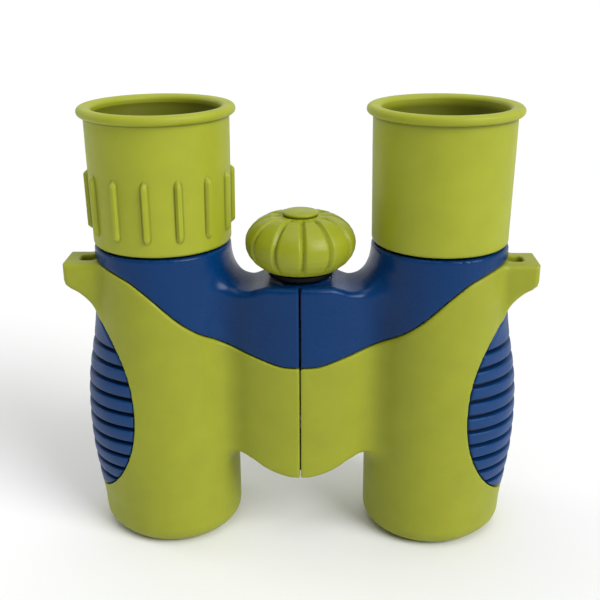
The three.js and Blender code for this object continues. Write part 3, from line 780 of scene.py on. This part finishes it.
def build_hinge():
    """The cap under the hinge, the washers between its knuckles and the clip on the yoke."""
    low, high = span("hinge_cap")
    socket = 20.4
    cap = [
        (0.02, low[2]), *arc(5.9, low[2] + 0.9, 0.9, -90, 0, 5), (6.8, high[2]), (4.3, high[2]),
        (4.3, socket), (0.02, socket),
    ]
    turned("hinge_cap", cap, MATERIALS["black"], 64)
    plain_ring("upper_hinge_washer", 4.5, MATERIALS["black"], 0.15)
    plain_ring("lower_hinge_washer", 4.5, MATERIALS["black"], 0.15)
    plain_ring("yoke_clip", 5.7, MATERIALS["steel"], 0.2)


AXLE = {"bore": 3.2, "radius": 4.2}
WINDOW = {"half_width": 1.1, "z": 34.2, "half_height": 5.5}
YOKE = {"bore": 4.5, "radius": 5.4, "flange": 7.2, "flange_thick": 1.4}
PIN_HOLE = {"z": 35, "radius": 0.9}
ARM = {"angle": math.atan2(-HINGE_Y, BARREL_X), "thick": 1.7, "half_width": 1.8, "start": 6.6, "end": 24.2}
ARM_RING = {"bore": 5.7, "radius": 7.6}
ARM_SCREW = {"along": 23, "radius": 0.8}
FOOT_LENGTH = 2.6
LINKAGE_STEP = 0.27


def hinge_ring(x, y, z, inner, outer, low, high):
    """A ring about the hinge's axis."""
    wall = np.abs(from_hinge(x, y) - (inner + outer) / 2) - (outer - inner) / 2
    return round_max(wall, np.abs(z - (low + high) / 2) - (high - low) / 2, 0.2)


def axle(x, y, z):
    """A tube with a window on each side, in which the yoke's pins travel."""
    low, high = span("hinge_axle")
    tube = hinge_ring(x, y, z, AXLE["bore"], AXLE["radius"], low[2], high[2])
    window = np.maximum(
        np.abs(y - HINGE_Y) - WINDOW["half_width"],
        np.abs(z - WINDOW["z"]) - WINDOW["half_height"],
    )
    return np.maximum(tube, -window)


def yoke(x, y, z):
    """A flanged ring that slides on the axle, with holes for its pins."""
    low, high = span("focus_yoke")
    flange = hinge_ring(x, y, z, YOKE["bore"], YOKE["flange"], low[2], low[2] + YOKE["flange_thick"])
    core = hinge_ring(x, y, z, YOKE["bore"], YOKE["radius"], low[2], high[2])
    pin_hole = np.hypot(y - HINGE_Y, z - PIN_HOLE["z"]) - PIN_HOLE["radius"]
    return np.maximum(np.minimum(flange, core), -pin_hole)


def focus_arm(side):
    """A flat arm from a ring on the yoke to a foot on the objective cell."""
    low, high = span(f"{side}_focus_arm")
    bottom, top = low[2], high[2]

    def field(x, y, z):
        along = x * math.cos(ARM["angle"]) + (y - HINGE_Y) * math.sin(ARM["angle"])
        across = (y - HINGE_Y) * math.cos(ARM["angle"]) - x * math.sin(ARM["angle"])
        ring = hinge_ring(x, y, z, ARM_RING["bore"], ARM_RING["radius"], top - ARM["thick"], top)
        plan = round_max(along - ARM["end"], np.abs(across) - ARM["half_width"], 0.4)
        flat = np.maximum(z - top, top - ARM["thick"] - z)
        bar = round_max(np.maximum(plan, ARM["start"] - along), flat, 0.2)
        tall = np.maximum(z - top, bottom - z)
        foot = round_max(np.maximum(plan, ARM["end"] - FOOT_LENGTH - along), tall, 0.2)
        hole = ARM_SCREW["radius"] - np.hypot(along - ARM_SCREW["along"], across)
        return np.maximum(np.minimum(ring, np.minimum(bar, foot)), hole)

    return field


def build_linkage():
    """The axle, yoke and arms, which show through the gap at the back of the hinge."""
    shapes = [("hinge_axle", axle), ("focus_yoke", yoke)]
    shapes += [(f"{side}_focus_arm", focus_arm(side)) for side in ("left", "right")]
    for node, field in shapes:
        low, high = span(node)
        mirrored = node.startswith("right")
        if mirrored:
            low[0], high[0] = -high[0], -low[0]
        points, quads = surface_net(field, low - 0.7, high + 0.7, LINKAGE_STEP)
        piece(node, points, quads, MATERIALS[SLOT_OF[node]], mirrored)


def finish_cad_nodes():
    """The inner CAD pieces keep their shape and take the same materials."""
    for node, obj in frame["nodes"].items():
        obj.data.materials.clear()
        obj.data.materials.append(MATERIALS[SLOT_OF[node]])


# ------------------------------------------------------------------ floor, light and camera


def build_floor():
    mesh = bpy.data.meshes.new("floor")
    reach = 6
    corners = [(-reach, -reach, 0), (reach, -reach, 0), (reach, reach, 0), (-reach, reach, 0)]
    mesh.from_pydata(corners, [], [(0, 1, 2, 3)])
    material, nodes, _ = new_material("pale_floor")
    shader = nodes["Principled BSDF"]
    shader.inputs["Base Color"].default_value = (0.84, 0.84, 0.84, 1)
    shader.inputs["Roughness"].default_value = 0.7
    mesh.materials.append(material)
    floor = bpy.data.objects.new("floor", mesh)
    bpy.context.scene.collection.objects.link(floor)


def soft_sun(name, azimuth, elevation, strength, spread):
    """A distant lamp as broad as a big softbox; azimuth is in degrees from the front towards +X."""
    light = bpy.data.lights.new(name, "SUN")
    light.energy = strength
    light.angle = math.radians(spread)
    lamp = bpy.data.objects.new(name, light)
    a, e = math.radians(azimuth), math.radians(elevation)
    towards = Vector((math.sin(a) * math.cos(e), -math.cos(a) * math.cos(e), math.sin(e)))
    lamp.rotation_euler = towards.to_track_quat("Z", "Y").to_euler()
    bpy.context.scene.collection.objects.link(lamp)


def build_light():
    """Three soft lamps, and a world that is brighter behind the object than in front of it."""
    soft_sun("key", azimuth=52, elevation=36, strength=2.5, spread=34)
    soft_sun("top", azimuth=0, elevation=82, strength=1.1, spread=50)
    soft_sun("rim", azimuth=-105, elevation=25, strength=0.5, spread=30)
    world = bpy.data.worlds.new("studio")
    world.use_nodes = True
    nodes, links = world.node_tree.nodes, world.node_tree.links
    direction = nodes.new("ShaderNodeTexCoord")
    parts = nodes.new("ShaderNodeSeparateXYZ")
    links.new(direction.outputs["Generated"], parts.inputs["Vector"])
    glow = nodes.new("ShaderNodeMix")
    links.new(nodes.new("ShaderNodeLightPath").outputs["Is Camera Ray"], glow.inputs["Factor"])
    links.new(mapped(nodes, links, parts.outputs["Y"], 0.2, 0.9, (0.1, 0.8)), glow.inputs["A"])
    glow.inputs["B"].default_value = 0.95  # the pale backdrop
    links.new(glow.outputs["Result"], nodes["Background"].inputs["Strength"])
    nodes["Background"].inputs["Color"].default_value = (1, 1, 1, 1)
    bpy.context.scene.world = world
    bpy.context.scene.view_settings.view_transform = "Standard"


CAMERA = {"lens": 56.65, "place": (0.005, -0.230, 0.1487), "down": 20.34, "left": 1.32, "roll": -0.23}


def build_camera():
    """A camera in front and slightly above; down, left and roll are in degrees."""
    data = bpy.data.cameras.new("camera")
    data.lens = CAMERA["lens"]
    data.sensor_width = 36
    data.clip_start = 0.01
    camera = bpy.data.objects.new("camera", data)
    camera.location = CAMERA["place"]
    down, left = math.radians(CAMERA["down"]), math.radians(CAMERA["left"])
    turn = Euler((math.pi / 2 - down, 0, left), "XYZ").to_matrix().to_4x4()
    roll = Euler((0, 0, math.radians(CAMERA["roll"])), "XYZ").to_matrix().to_4x4()
    camera.rotation_euler = (turn @ roll).to_euler()
    bpy.context.scene.collection.objects.link(camera)
    bpy.context.scene.camera = camera


build_camera()
build_light()
build_floor()
finish_cad_nodes()
build_halves()
build_eyepieces()
build_objectives()
build_wheel()
build_hinge()
build_linkage()
